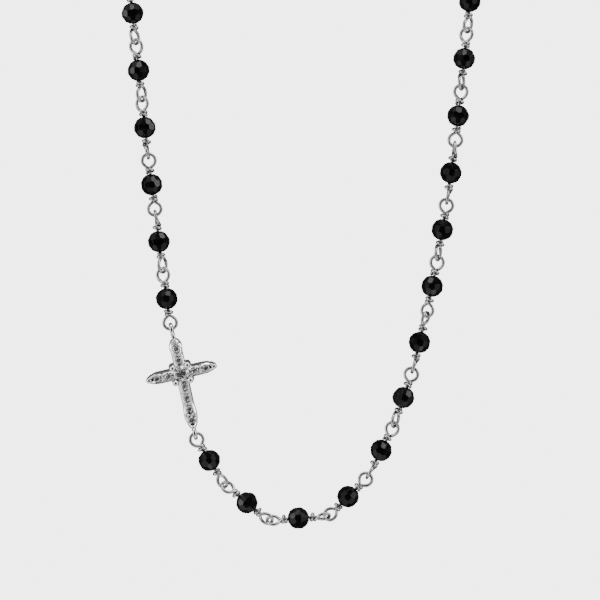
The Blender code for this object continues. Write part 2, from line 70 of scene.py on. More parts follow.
# Beads, in millimetres. Facet rows are (latitude in degrees, facets, shift in facets).
BEAD_BLANK = 5.0
BEAD_HOLE_RADIUS = 0.38
BEAD_HOLE_SIDES = 16
BEAD_DRILL_REACH = 3.0
BEAD_END_PLANE = 1.92
BEAD_FACET_ROWS = ((0.0, 12, 0.0), (30.0, 12, 0.5), (59.0, 7, 0.25))
BEAD_FACET_DEPTH = 1.95
BEAD_TILT_ERROR = 0.035
BEAD_DEPTH_ERROR = 0.018
BEAD_EDGE_WEAR = 0.02
BEAD_MERGE = 0.008
BEAD_CUTS = 6

# Wire links, in millimetres, with X measured from the bead's centre. BEND_ROOM is for a bend of 1 radian,
# and the wire crosses over itself in CROSSING_SHARE of its loop, lifted by CROSSING_LIFT of WRAP_RADIUS.
WIRE_RADIUS = 0.31
WIRE_SIDES = 12
LOOP_RADIUS = 1.2
LOOP_STRETCH = 0.04
BEND_ROOM = 0.12
LOOP_STEPS = 34
LOOP_VARIATION = 0.02
LOOP_LEAN = 0.05
NECK_X = 3.02
WRAP_START_X = 2.24
WRAP_RADIUS = 0.6
WRAP_TURNS = 1.3
WRAP_STEPS = 28
WRAP_END_ANGLE = 90.0
CROSSING_SHARE = 0.4
CROSSING_LIFT = 0.6

# Cross, in millimetres, with +X up the top arm. Wall layers are (distance outwards, height), rim layers
# (share of the arms' width, height), and profiles (share of the arm's length, half width).
CROSS_TOP = 2.3
CROSS_GROOVE = 1.75
WALL_LAYERS = ((0.02, 0.0), (0.12, 0.12), (0.16, 0.35), (0.17, 1.98), (0.15, 2.06), (0.0, 2.18))
RIM_LAYERS = ((0.88, 2.28), (0.85, CROSS_TOP), (0.81, 2.28), (0.06, CROSS_GROOVE))
TIP_INSET = 0.5
STONE_GIRDLE_Z = 2.2
TOP_ARM = 6.2
SIDE_ARM = 6.1
FOOT_ARM = 10.2
ARM_ROOT = 1.25
ARM_STEPS = 16
ARM_PROFILE = ((0.0, 0.94), (0.50, 0.92), (0.76, 1.08), (0.90, 0.86), (1.0, 0.40))
SIDE_ARM_PROFILE = ((0.0, 0.92), (0.50, 0.90), (0.72, 0.86), (0.92, 0.58), (1.0, 0.38))
CROSS_LEAN = 0.16

# Small stones and prongs of the cross, in millimetres. SEAT_DEPTH and SEAT_TIP are shares of the seat's
# radius; BALL_STEM_TOP, BALL_STEM_FLARE and END_BALL_SINK are shares of the ball's.
STONE_SPACING = 2.12
FIRST_STONE_X = 2.5
SMALL_STONE_RADIUS = 0.62
FOOT_STONE_RADIUS = 0.72
SEAT_CLEARANCE = 0.03
SEAT_SIDES = 24
SEAT_DEPTH = 0.95
SEAT_TIP = (0.25, 0.8)
SEAT_LEDGE = 0.05
SEAT_TOP = 0.6
SMALL_PRONG_RADIUS = 0.30
SMALL_PRONG_OFFSET = 0.48
SMALL_PRONG_SINK = 0.02
PRONG_FREE_END = 0.4
TIP_BALL_RADIUS = 0.56
TIP_BALL_OVERHANG = 0.05
END_BEAD_RADIUS = 0.44
END_BALL_SINK = 0.7
END_BALL_BOTTOM = 0.4
BALL_SIDES = 20
BALL_STEP = 20
BALL_STEM_TOP = -0.5
BALL_STEM_FLARE = 0.8

# Centre stone with its seat and prongs, with profiles as (radius, height), in millimetres
CENTRE_STONE_RADIUS = 1.2
CENTRE_GIRDLE_Z = 2.62
CENTRE_SEAT_PROFILE = (
    (1.50, 1.4), (1.54, 2.1), (1.50, 2.35), (1.38, 2.58), (1.30, 2.63), (1.23, 2.58), (1.14, 2.42),
    (0.5, 1.62), (0.0, 1.5),
)
CENTRE_BORE_PROFILE = ((0.0, 1.2), (0.8, 1.3), (1.45, 2.0), (1.45, 2.8), (0.0, 2.8))
PRONG_BALL_RADIUS = 0.6
PRONG_BALL_CIRCLE = 1.98
PRONG_BALL_Z = 2.68
PRONG_BALL_BOTTOM = 1.0
PRONG_BALL_FLARE = 1.2

# Cut of every clear stone, in shares of its radius, the kites' height in shares of the crown's
TABLE_SHARE = 0.42
CROWN_SHARE = 0.32
KITE_SHARE = 0.83
KITE_HEIGHT_SHARE = 0.55
GIRDLE_SHARE = 0.03
PAVILION_SHARE = 0.78

# Eyelets of the cross, in millimetres, with their section as (in the ring's plane, across it)
EYE_RADIUS = 0.95
EYE_SECTION = (0.33, 0.39)
EYE_HEIGHT = 2.0
EYE_STEPS = 32
EYE_STEM_RADIUS = 0.40
EYE_STEM_HEIGHT = 1.8
EYE_STEM_OVERLAP = 0.3
TOP_EYE_X = 8.35
FOOT_EYE_X = 11.27

# Rings, in millimetres, each as (radius, wire radius), with the seam as degrees to each side of its cut
JUMP_RING = (1.42, 0.27)
JUMP_RING_STEPS = 56
JUMP_RING_SEAM = 2.0
END_RING = (1.90, 0.35)

# Clasp, in millimetres, with +X from its tail to its bow. Arcs are (first degree, last degree, steps)
# along the bow's oval, slots (middle, size), and rivet heads (radius, rise). Bars start at their ROOT size
# and lose BAR_TAPER by the tip, and CLASP_BAR_HEIGHT and THUMB_TAB_HEIGHT are shares of a half height.
CLASP_TAIL = (0.94, 0.25)
CLASP_TAIL_STEPS = 28
CLASP_HEAD_X = 3.3
CLASP_HEAD_RADIUS = 1.78
CLASP_HEAD_ROUNDING = 0.3
CLASP_HALF_HEIGHT = 0.9
CLASP_BOW_X = 7.2
CLASP_BOW_LENGTH = 3.3
CLASP_BOW_WIDTH = 1.9
CLASP_BOW_ARC = (186, 422, 40)
CLASP_BOW_ROOT = 1.3
CLASP_BAR_RADIUS = 0.52
CLASP_BAR_HEIGHT = 0.72
CLASP_SLOT_HALF_HEIGHT = 0.45
CLASP_SLOTS = (((3.45, 2.4), (3.5, 6.0)), ((2.85, -1.5), (2.3, 3.0)))
BAR_TAPER = 0.3
LEVER_PIVOT = (3.5, 0.5)
LEVER_HALF_HEIGHT = 0.38
LEVER_EYE_RADIUS = 0.62
LEVER_EYE_ROUNDING = 0.1
GATE_ARC = (163, 80, 18)
GATE_ROOT = 0.9
THUMB_TAB = (2.9, -2.75)
THUMB_TAB_HALF_WIDTH = 0.38
THUMB_TAB_HEIGHT = 0.86
THUMB_TAB_SIZES = (1.0, 1.0, 1.0, 1.0, 1.04, 1.12, 1.06, 1.14, 1.0)
RIVET_HOLE_RADIUS = 0.33
RIVET_RISE = 0.03
RIVET_HEAD = ((0.0, 0.15), (0.2, 0.14), (0.36, 0.09), (0.45, 0.0), (0.27, 0.0))
SPRING_CENTRE = (2.3, 0.85)
SPRING_RADIUS = 0.33
SPRING_WIRE_RADIUS = 0.07
SPRING_HALF_HEIGHT = 0.2
SPRING_LEG = 0.55
SPRING_TURNS = 1.5
SPRING_STEPS = 48

# Materials: the range that noise mostly stays in, and the painted shade in crevices (colour darkened by
# ambient occlusion) as its reach in metres and its ramp
NOISE_RANGE = (0.3, 0.7)
PAINTED_SHADE_REACH = 0.0004
PAINTED_SHADE_STOPS = ((0.25, (0.12, 0.12, 0.12)), (0.7, (1.0, 1.0, 1.0)))

# Camera and floor, in metres, with the lens and its sensor in millimetres
LOWEST_BEAD = "right_bead_03"
VIEW_OFFSET = Vector((0.0003, 0.0402, 0.0))
VIEW_WIDTH = 0.1106
LENS = 200.0
SENSOR = 36.0
CLIP = (0.01, 10.0)
FLOOR_SIZE = 60.0
FLOOR_CELLS = 8
FLOOR_DROP = 0.2
FLOOR_GLOW = 4.4

# Light tent, with stops as (height, grey), and soft lights as (name, place, size, watts)
TENT_STOPS = ((0.0, 1.1), (0.40, 1.2), (0.60, 0.8), (0.74, 0.5), (0.80, 0.05))
TENT_SEED = 7.0
TENT_FOLD_SCALE = 1.7
TENT_FOLD_RANGE = (0.38, 0.60)
TENT_DARK = 0.15
TENT_BRIGHT = 1.6
SOFTBOXES = (
    ("north", (0.20, 0.95, 0.26), (0.9, 0.34), 6.0),
    ("west", (-0.96, 0.05, 0.30), (0.6, 0.3), 3.0),
    ("east", (0.92, 0.35, 0.26), (0.4, 0.3), 2.0),
    ("south", (0.1, -0.95, 0.3), (0.6, 0.2), 1.2),
)

# Reach, number of stones and half widths of each arm, a quarter turn apart from the top one round
ARMS = (
    (TOP_ARM, 2, ARM_PROFILE),
    (SIDE_ARM, 2, SIDE_ARM_PROFILE),
    (FOOT_ARM, 4, ARM_PROFILE),
    (SIDE_ARM, 2, SIDE_ARM_PROFILE),
)


# ---------------------------------------------------------------- mesh helpers

def mesh_of(form, name):
    """A mesh in metres from a bmesh in millimetres, which is freed."""
    bmesh.ops.recalc_face_normals(form, faces=form.faces)
    mesh = bpy.data.meshes.new(name)
    form.to_mesh(mesh)
    form.free()
    mesh.transform(Matrix.Scale(MM, 4))
    return mesh


def end_stations(station, sign):
    """Narrower stations past a bar's end, the widest first, which make the end round."""
    point, tangent, across, size = station
    rounded = []
    for share in END_SHARES:
        lift = math.sqrt(1 - share * share) * size * END_LENGTH
        rounded.append((point + tangent * (sign * lift), tangent, across, size * share))
    return rounded


def add_tube(form, path, radius, sides=WIRE_SIDES, closed=False, section=(1.0, 1.0), side=None):
    """A bar along the path with round ends, or a ring of it.

    radius is a number or one for each point, and section is the bar's size along side and across it.
    """
    points = [Vector(point) for point in path]
    count = len(points)
    radii = [radius] * count if isinstance(radius, (int, float)) else list(radius)
    tangents = []
    for i in range(count):
        before = points[i - 1] if closed or i > 0 else points[i]
        after = points[(i + 1) % count] if closed or i < count - 1 else points[i]
        tangents.append((after - before).normalized())
    normal = Vector(side) if side else tangents[0].orthogonal()
    stations = []
    for point, tangent, size in zip(points, tangents, radii):
        normal = (normal - tangent * normal.dot(tangent)).normalized()
        stations.append((point, tangent, normal.copy(), size))
    if not closed:
        stations = end_stations(stations[0], -1)[::-1] + stations + end_stations(stations[-1], 1)
    rings = []
    for point, tangent, across, size in stations:
        other = tangent.cross(across)
        ring = []
        for k in range(sides):
            angle = 2 * math.pi * k / sides
            offset = across * (math.cos(angle) * section[0]) + other * (math.sin(angle) * section[1])
            ring.append(form.verts.new(point + offset * size))
        rings.append(ring)
    add_skin(form, rings, closed)


def add_skin(form, rings, closed=False):
    """Faces between rings of points, each joined to the next, with flat ends unless it is closed."""
    pairs = list(zip(rings, rings[1:]))
    if closed:
        pairs.append((rings[-1], rings[0]))
    for first, second in pairs:
        count = len(first)
        for k in range(count):
            after = (k + 1) % count
            form.faces.new((first[k], first[after], second[after], second[k]))
    if not closed:
        form.faces.new(rings[0][::-1])
        form.faces.new(rings[-1])


def add_turned(form, profile, place, sides=32):
    """A solid turned about Z from (radius, height) points; a first or last radius of 0 is its pole."""
    rings = []
    for radius, height in profile:
        if radius == 0.0:
            rings.append([form.verts.new(place @ Vector((0.0, 0.0, height)))])
            continue
        ring = []
        for k in range(sides):
            angle = 2 * math.pi * k / sides
            corner = Vector((radius * math.cos(angle), radius * math.sin(angle), height))
            ring.append(form.verts.new(place @ corner))
        rings.append(ring)
    for first, second in zip(rings, rings[1:]):
        for k in range(sides):
            after = (k + 1) % sides
            corners = [first[k % len(first)], first[after % len(first)],
                       second[after % len(second)], second[k % len(second)]]
            form.faces.new(list(dict.fromkeys(corners)))
    for ring in (rings[0], rings[-1]):
        if len(ring) > 1:
            form.faces.new(ring)


def add_ball(form, radius, centre, stem_bottom, stem_flare=BALL_STEM_FLARE):
    """A cast ball, round above and on a stem down to stem_bottom."""
    profile = [(0.0, radius)]
    for degrees in range(90 - BALL_STEP, -90, -BALL_STEP):
        angle = math.radians(degrees)
        profile.append((radius * math.cos(angle), radius * math.sin(angle)))
    profile = [point for point in profile if point[1] > BALL_STEM_TOP * radius]
    profile.append((radius * stem_flare, stem_bottom - centre[2]))
    add_turned(form, profile, Matrix.Translation(centre), BALL_SIDES)


def combined(mesh, other, operation):
    """The first mesh with the second one united to it or cut out of it."""
    item = bpy.data.objects.new("work", mesh)
    helper = bpy.data.objects.new("helper", other)
    for used in (item, helper):
        bpy.context.scene.collection.objects.link(used)
    step = item.modifiers.new("boolean", "BOOLEAN")
    step.operation = operation
    step.solver = "EXACT"
    step.object = helper
    bpy.context.view_layer.update()
    graph = bpy.context.evaluated_depsgraph_get()
    result = bpy.data.meshes.new_from_object(item.evaluated_get(graph))
    for used in (item, helper):
        bpy.data.objects.remove(used, do_unlink=True)
    return result


def cut(mesh, form):
    """The mesh without what lies inside a cutter, a bmesh in millimetres."""
    return combined(mesh, mesh_of(form, "cutter"), "DIFFERENCE")


def united(*forms):
    """One mesh from bmeshes in millimetres that run into each other."""
    joined = mesh_of(forms[0], "part")
    for form in forms[1:]:
        joined = combined(joined, mesh_of(form, "part"), "UNION")
    return joined


def add_piece(name, mesh, finish, body, nodes=(), place=Matrix.Identity(4), smooth=True):
    """A piece of the object, set at its place, that rides on a body and stands for CAD nodes."""
    mesh.transform(place)
    mesh.name = name
    mesh.materials.clear()
    mesh.materials.append(MATERIALS[finish])
    if smooth:
        mesh.shade_smooth()
        mesh.set_sharp_from_angle(angle=math.radians(SHARP_ANGLE))
    else:
        mesh.shade_flat()
    piece = bpy.data.objects.new(name, mesh)
    bpy.context.scene.collection.objects.link(piece)
    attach(piece, body)
    if nodes:
        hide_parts(*nodes)
    return piece


# ---------------------------------------------------------------- materials

def new_material(name, **values):
    """A material whose even values are set on the shader's own sockets."""
    material = bpy.data.materials.new(name)
    material.use_nodes = True
    shader = material.node_tree.nodes["Principled BSDF"]
    for socket, value in values.items():
        shader.inputs[socket.replace("_", " ")].default_value = value
    return material, shader


def noise(material, scale, detail=4.0, stretch=(1.0, 1.0, 1.0)):
    """Noise over the piece's own coordinates, scale being features in a metre."""
    nodes, links = material.node_tree.nodes, material.node_tree.links
    coordinates = nodes.new("ShaderNodeTexCoord")
    mapping = nodes.new("ShaderNodeMapping")
    mapping.inputs["Scale"].default_value = stretch
    texture = nodes.new("ShaderNodeTexNoise")
    texture.inputs["Scale"].default_value = scale
    texture.inputs["Detail"].default_value = detail
    links.new(coordinates.outputs["Object"], mapping.inputs["Vector"])
    links.new(mapping.outputs["Vector"], texture.inputs["Vector"])
    return texture.outputs["Fac"]


def ramp(owner, source, stops):
    """A colour ramp over a value, from (position, colour) stops, in a material or a world."""
    node = owner.node_tree.nodes.new("ShaderNodeValToRGB")
    elements = node.color_ramp.elements
    while len(elements) < len(stops):
        elements.new(0.5)
    for element, (position, colour) in zip(elements, stops):
        element.position = position
        element.color = (*colour, 1.0)
    owner.node_tree.links.new(source, node.inputs["Fac"])
    return node.outputs["Color"]


def spread(owner, source, low, high, between=NOISE_RANGE):
    """A value that runs from low to high as its source runs over a range."""
    node = owner.node_tree.nodes.new("ShaderNodeMapRange")
    node.inputs["From Min"].default_value, node.inputs["From Max"].default_value = between
    node.inputs["To Min"].default_value = low
    node.inputs["To Max"].default_value = high
    owner.node_tree.links.new(source, node.inputs["Value"])
    return node.outputs["Result"]


def bump(material, shader, source, height, strength):
    """Fine relief from a value, with its height in metres."""
    node = material.node_tree.nodes.new("ShaderNodeBump")
    node.inputs["Strength"].default_value = strength
    node.inputs["Distance"].default_value = height
    material.node_tree.links.new(source, node.inputs["Height"])
    material.node_tree.links.new(node.outputs["Normal"], shader.inputs["Normal"])


def with_painted_crevice_shade(material, colour):
    """The colour darkened by ambient occlusion in narrow crevices: painted shade."""
    nodes, links = material.node_tree.nodes, material.node_tree.links
    crevice = nodes.new("ShaderNodeAmbientOcclusion")
    crevice.inputs["Distance"].default_value = PAINTED_SHADE_REACH
    shade = ramp(material, crevice.outputs["AO"], PAINTED_SHADE_STOPS)
    mix = nodes.new("ShaderNodeMix")
    mix.data_type = "RGBA"
    mix.blend_type = "MULTIPLY"
    mix.inputs["Factor"].default_value = 1.0
    links.new(colour, mix.inputs["A"])
    links.new(shade, mix.inputs["B"])
    return mix.outputs["Result"]


def silver():
    """Bright polished silver with faint cloudy wear, fine polishing lines and painted shade in its crevices.
    """
    material, shader = new_material("silver_look", Metallic=1.0)
    links = material.node_tree.links
    clouds = noise(material, scale=700.0)
    colour = ramp(material, clouds, ((0.30, (0.88, 0.88, 0.89)), (0.62, (0.98, 0.98, 0.98))))
    # Painted shade: the base colour is darkened by ambient occlusion in crevices, round the stones and
    # prongs.
    links.new(with_painted_crevice_shade(material, colour), shader.inputs["Base Color"])
    wear = spread(material, noise(material, scale=2500.0), low=0.02, high=0.07)
    links.new(wear, shader.inputs["Roughness"])
    lines = noise(material, scale=5200.0, detail=3.0, stretch=(1.0, 1.0, 2.5))
    bump(material, shader, lines, height=0.00002, strength=0.25)
    return material


def drawn_silver():
    """Silver wire: a little greyer and softer than the casting, with fine lines from the draw plate."""
    material, shader = new_material("drawn_silver_look", Metallic=1.0)
    links = material.node_tree.links
    lines = noise(material, scale=2200.0, detail=3.0, stretch=(1.0, 1.0, 2.5))
    clouds = noise(material, scale=600.0)
    colour = ramp(material, clouds, ((0.30, (0.40, 0.40, 0.42)), (0.65, (0.64, 0.64, 0.65))))
    # Painted shade: the base colour is darkened by ambient occlusion in crevices and between the wraps.
    links.new(with_painted_crevice_shade(material, colour), shader.inputs["Base Color"])
    links.new(spread(material, lines, low=0.24, high=0.34), shader.inputs["Roughness"])
    bump(material, shader, lines, height=0.00002, strength=0.2)
    return material


def black_stone():
    """Polished black stone: nearly black with faint grey veins and lightly worn facets."""
    material, shader = new_material("black_stone_look", Specular_IOR_Level=0.2)
    links = material.node_tree.links
    veins = noise(material, scale=420.0, detail=8.0, stretch=(1.0, 2.2, 1.0))
    colour = ramp(material, veins, (
        (0.42, (0.0015, 0.0015, 0.0018)),
        (0.60, (0.004, 0.004, 0.0043)),
        (0.72, (0.011, 0.011, 0.012)),
    ))
    links.new(colour, shader.inputs["Base Color"])
    wear = spread(material, noise(material, scale=1600.0), low=0.04, high=0.11)
    links.new(wear, shader.inputs["Roughness"])
    bump(material, shader, noise(material, scale=900.0, detail=2.0), height=0.00002, strength=0.12)
    return material


def clear_stone():
    """Clear cut stone that bends light strongly, with a trace of haze."""
    material, shader = new_material("clear_stone_look", Metallic=0.45, Transmission_Weight=1.0, IOR=2.1)
    links = material.node_tree.links
    clouds = noise(material, scale=500.0)
    tint = ramp(material, clouds, ((0.3, (0.93, 0.95, 0.97)), (0.7, (1.0, 1.0, 1.0))))
    links.new(tint, shader.inputs["Base Color"])
    haze = spread(material, noise(material, scale=3000.0), low=0.0, high=0.03)
    links.new(haze, shader.inputs["Roughness"])
    return material


def spring_steel():
    """Drawn steel wire: greyer than the silver, with lines along it."""
    material, shader = new_material("spring_steel_look", Metallic=1.0)
    links = material.node_tree.links
    lines = noise(material, scale=3000.0, detail=3.0, stretch=(1.0, 1.0, 6.0))
    colour = ramp(material, lines, ((0.3, (0.36, 0.37, 0.39)), (0.7, (0.55, 0.56, 0.58))))
    links.new(colour, shader.inputs["Base Color"])
    links.new(spread(material, lines, low=0.22, high=0.42), shader.inputs["Roughness"])
    bump(material, shader, lines, height=0.00001, strength=0.3)
    return material


def floor_material():
    """Dark matte card with a faint mottle, which glows white to the camera alone."""
    material, shader = new_material("floor_look", Roughness=0.8)
    nodes, links = material.node_tree.nodes, material.node_tree.links
    clouds = noise(material, scale=9.0)
    mottle = ramp(material, clouds, ((0.3, (0.09, 0.09, 0.09)), (0.7, (0.11, 0.11, 0.11))))
    links.new(mottle, shader.inputs["Base Color"])
    seen = nodes.new("ShaderNodeLightPath")
    glow = nodes.new("ShaderNodeMath")
    glow.operation = "MULTIPLY"
    glow.inputs[1].default_value = FLOOR_GLOW
    shader.inputs["Emission Color"].default_value = (1.0, 1.0, 1.0, 1.0)
    links.new(seen.outputs["Is Camera Ray"], glow.inputs[0])
    links.new(glow.outputs["Value"], shader.inputs["Emission Strength"])
    return material


# ---------------------------------------------------------------- beads and wire links

def facet_planes():
    """(direction, depth) of a bead's facets: two ends, and rows round its own axis, which is X."""
    planes = [(Vector((1.0, 0.0, 0.0)), BEAD_END_PLANE), (Vector((-1.0, 0.0, 0.0)), BEAD_END_PLANE)]
    for latitude, count, shift in BEAD_FACET_ROWS:
        for sign in ((1,) if latitude == 0 else (1, -1)):
            for k in range(count):
                lift = sign * math.radians(latitude) + RANDOM.gauss(0.0, BEAD_TILT_ERROR)
                turn = 2 * math.pi * (k + shift) / count + RANDOM.gauss(0.0, BEAD_TILT_ERROR)
                out = math.cos(lift)
                normal = Vector((math.sin(lift), out * math.cos(turn), out * math.sin(turn)))
                planes.append((normal, BEAD_FACET_DEPTH + RANDOM.gauss(0.0, BEAD_DEPTH_ERROR)))
    return planes


def cut_bead():
    """A round bead ground flat facet by facet, with worn edges and a drilled hole along X."""
    form = bmesh.new()
    bmesh.ops.create_cube(form, size=BEAD_BLANK)
    for normal, depth in facet_planes():
        everything = form.verts[:] + form.edges[:] + form.faces[:]
        bmesh.ops.bisect_plane(form, geom=everything, dist=0.0001, plane_co=normal * depth,
                               plane_no=normal, clear_outer=True)
        bmesh.ops.holes_fill(form, edges=form.edges)
    bmesh.ops.remove_doubles(form, verts=form.verts, dist=BEAD_MERGE)
    bmesh.ops.bevel(form, geom=form.edges[:] + form.verts[:], offset=BEAD_EDGE_WEAR,
                    segments=1, affect="EDGES", profile=0.5)
    bead = mesh_of(form, "bead")
    drill = bmesh.new()
    path = [(-BEAD_DRILL_REACH, 0.0, 0.0), (BEAD_DRILL_REACH, 0.0, 0.0)]
    add_tube(drill, path, BEAD_HOLE_RADIUS, BEAD_HOLE_SIDES)
    return cut(bead, drill)


def smoothed(points):
    """The path with its corners eased, both ends kept."""
    for _ in range(EASING_PASSES):
        eased = [points[0]]
        for before, here, after in zip(points, points[1:], points[2:]):
            eased.append((before + here * 2 + after) / 4)
        points = eased + [points[-1]]
    return points


def run(start, end):
    """Points from start to end, both left out."""
    return [start.lerp(end, (k + 1) / (RUN_POINTS + 1)) for k in range(RUN_POINTS)]


def loop_end(tip_x):
    """Path of one wrapped loop from its cut tail: round the neck, round the loop, and on to the shank.

    X points out from the bead's centre, the loop lies in the XY plane.
    """
    radius = LOOP_RADIUS * (1 + RANDOM.uniform(-LOOP_VARIATION, LOOP_VARIATION))
    lean = RANDOM.uniform(-LOOP_LEAN, LOOP_LEAN)
    centre = tip_x - radius
    points = []
    for k in range(WRAP_STEPS + 1):
        part = k / WRAP_STEPS
        angle = math.radians(WRAP_END_ANGLE + 360 * WRAP_TURNS * (1 - part))
        x = WRAP_START_X + (NECK_X - WRAP_START_X) * part
        points.append(Vector((x, WRAP_RADIUS * math.cos(angle), WRAP_RADIUS * math.sin(angle))))
    opening = math.pi - math.acos(radius / (centre - NECK_X))
    loop = []
    for k in range(LOOP_STEPS + 1):
        part = k / LOOP_STEPS
        angle = opening * (1 - 2 * part)
        lift = WRAP_RADIUS * max(0.0, 1 - part / CROSSING_SHARE) ** 2 * CROSSING_LIFT
        loop.append(Vector((centre + radius * math.cos(angle), radius * math.sin(angle), lift)))
    points += run(points[-1], loop[0]) + loop
    neck = Vector((NECK_X, 0.0, 0.0))
    points += run(loop[-1], neck) + [neck]
    for point in points:
        bow = max(0.0, point.x - NECK_X) / (tip_x - NECK_X)
        point.y += lean * math.sin(math.pi * min(1.0, bow))
    shank_end = Vector((WRAP_START_X, 0.0, 0.0))
    points += run(neck, shank_end) + [shank_end]
    return smoothed(points)


def link_wire(inner_tip, outer_tip, inner_roll, outer_roll):
    """One wire: a wrapped loop at each end, each rolled about the link's axis, and the shank between."""
    outward = Matrix.Rotation(outer_roll, 3, "X")
    inward = Matrix.Rotation(inner_roll, 3, "X") @ Matrix.Rotation(math.pi, 3, "Z")
    outer = [outward @ point for point in loop_end(outer_tip)]
    inner = [inward @ point for point in loop_end(inner_tip)]
    form = bmesh.new()
    add_tube(form, outer + inner[::-1], WIRE_RADIUS)
    return mesh_of(form, "wire")


def hook_of(body):
    """The joint that a body hangs from, which isn't a bead's spin."""
    for joint in frame["joints"]:
        if joint["child"] == body and joint["name"] != body + "_spin":
            return joint
    raise ValueError(body)


def heading_of(body):
    """Where a link points: from its hook to the middle of its CAD solid."""
    points = [vertex.co for vertex in frame["nodes"][body].data.vertices]
    middle = sum(points, Vector()) / len(points)
    away = middle - Vector(hook_of(body)["pos_m"])
    return math.atan2(away.y, away.x)


def roll_of(body):
    """The roll of a link's first loop about its own axis, read from the hinge that runs along its tip."""
    heading = heading_of(body)
    axis = Vector(hook_of(body)["axis"])
    across = Vector((-math.sin(heading), math.cos(heading), 0.0))
    return math.atan2(axis.z, axis.dot(across))


def link_place(body, distance=0.0):
    """The frame of a link: X along it, moved along it by a distance from its hinge."""
    place = Matrix.Translation(hook_of(body)["pos_m"]) @ Matrix.Rotation(heading_of(body), 4, "Z")
    return place @ Matrix.Translation((distance, 0.0, 0.0))


def bead_distance():
    """From a link's hinge to the middle of its bead."""
    hinge = Vector(hook_of("right_wire_01")["pos_m"])
    low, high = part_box("right_bead_01")
    return (((low + high) / 2 - hinge).xy).length


def strand_links(strand):
    """The bodies of a strand's links, from the cross outwards."""
    names = [joint["child"] for joint in frame["joints"] if joint["name"].startswith(strand + "_hook_")]
    return sorted(names, key=lambda name: name[-2:])


def loop_tip(body, following):
    """From a bead's middle to the tip of its loop in millimetres, longer where the chain bends."""
    bend = math.remainder(heading_of(following) - heading_of(body), 2 * math.pi)
    return bead_distance() / MM + LOOP_STRETCH + BEND_ROOM * bend * bend


def add_strand(strand, end_body, bead_meshes):
    """Every wire and bead of one strand."""
    middle = bead_distance()
    bodies = strand_links(strand)
    inner_tip = middle / MM + LOOP_STRETCH
    for body, following in zip(bodies, bodies[1:] + [end_body]):
        number = body[-2:]
        place = link_place(body, middle)
        outer_tip = loop_tip(body, following)
        mesh = link_wire(inner_tip, outer_tip, roll_of(body), roll_of(following) - math.pi / 2)
        inner_tip = outer_tip
        add_piece(f"{strand}_wire_look_{number}", mesh, "drawn_silver", body, (body,), place)
        bead_body = body if "beaded" in body else f"{strand}_bead_{number}"
        turn = Matrix.Rotation(RANDOM.uniform(0.0, 2 * math.pi), 4, "X")
        mesh = bead_meshes[int(number) % len(bead_meshes)].copy()
        add_piece(f"{strand}_bead_look_{number}", mesh, "black_stone", bead_body, (bead_body,),
                  place @ turn, smooth=False)


# ---------------------------------------------------------------- cross

def cross_place():
    """The cross's frame, with +X up its top arm. The foot's eye is its farthest point from the centre."""
    low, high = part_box("centre_stone")
    centre = ((low + high) / 2).xy
    points = [vertex.co.xy for vertex in frame["nodes"]["cross"].data.vertices]
    foot = max(points, key=lambda point: (point - centre).length)
    up = centre - foot
    return Matrix.Translation((*centre, 0.0)) @ Matrix.Rotation(math.atan2(up.y, up.x), 4, "Z")


def along_profile(profile, part):
    """An arm's half width at a part of its length, eased between the profile's points."""
    for (start, low), (end, high) in zip(profile, profile[1:]):
        if part <= end:
            share = (part - start) / (end - start)
            return low + (high - low) * (1 - math.cos(math.pi * share)) / 2
    return profile[-1][1]


def cross_outline(share=1.0):
    """The cross from the front, anticlockwise from its top arm, with a share of its arms' full width."""
    outline = []
    for quarter, (reach, _, profile) in enumerate(ARMS):
        turn = Matrix.Rotation(math.radians(90 * quarter), 2)
        length = reach - ARM_ROOT - TIP_INSET * (1 - share)
        half = []
        for step in range(ARM_STEPS + 1):
            part = step / ARM_STEPS
            half.append((ARM_ROOT + length * part, along_profile(profile, part) * share))
        sides = [(x, -y) for x, y in half] + [(x, y) for x, y in reversed(half)]
        outline += [turn @ Vector(side) for side in sides]
    return outline


def offset_outline(outline, distance):
    """The outline moved outwards along its normals."""
    moved = []
    count = len(outline)
    for i, point in enumerate(outline):
        along = (outline[(i + 1) % count] - outline[i - 1]).normalized()
        moved.append(point + Vector((along.y, -along.x)) * distance)
    return moved


def arm_frames():
    """(turn about Z, reach, places of its stones) of each arm from the top one round."""
    for quarter, (reach, stones, _) in enumerate(ARMS):
        places = [FIRST_STONE_X + STONE_SPACING * k for k in range(stones)]
        yield Matrix.Rotation(math.radians(90 * quarter), 4, "Z"), reach, places


def stone_seats():
    """(place, radius) of every small stone, the last one of the foot being larger."""
    seats = []
    for turn, reach, places in arm_frames():
        for x in places:
            last_of_foot = reach == FOOT_ARM and x == places[-1]
            radius = FOOT_STONE_RADIUS if last_of_foot else SMALL_STONE_RADIUS
            seats.append((turn @ Vector((x, 0.0, STONE_GIRDLE_Z)), radius))
    return seats


def seat_profile(wall):
    """A drilled seat about its stone's girdle, from its point below to above the casting."""
    return (
        (0.0, -SEAT_DEPTH * wall),
        (SEAT_TIP[0] * wall, -SEAT_TIP[1] * wall),
        (wall, -SEAT_LEDGE),
        (wall, SEAT_TOP),
        (0.0, SEAT_TOP),
    )


def make_casting():
    """The cross's body: a bevelled rim, bright slopes down to a groove, and a drilled seat for each stone."""
    form = bmesh.new()
    outline = cross_outline()
    contours = [(offset_outline(outline, distance), height) for distance, height in WALL_LAYERS]
    contours += [(cross_outline(share), height) for share, height in RIM_LAYERS]
    rings = []
    for contour, height in contours:
        rings.append([form.verts.new((point.x, point.y, height)) for point in contour])
    add_skin(form, rings)
    cutters = bmesh.new()
    for place, radius in stone_seats():
        add_turned(cutters, seat_profile(radius + SEAT_CLEARANCE), Matrix.Translation(place), SEAT_SIDES)
    add_turned(cutters, CENTRE_BORE_PROFILE, Matrix.Identity(4), ROUND_SIDES)
    return cut(mesh_of(form, "casting"), cutters)


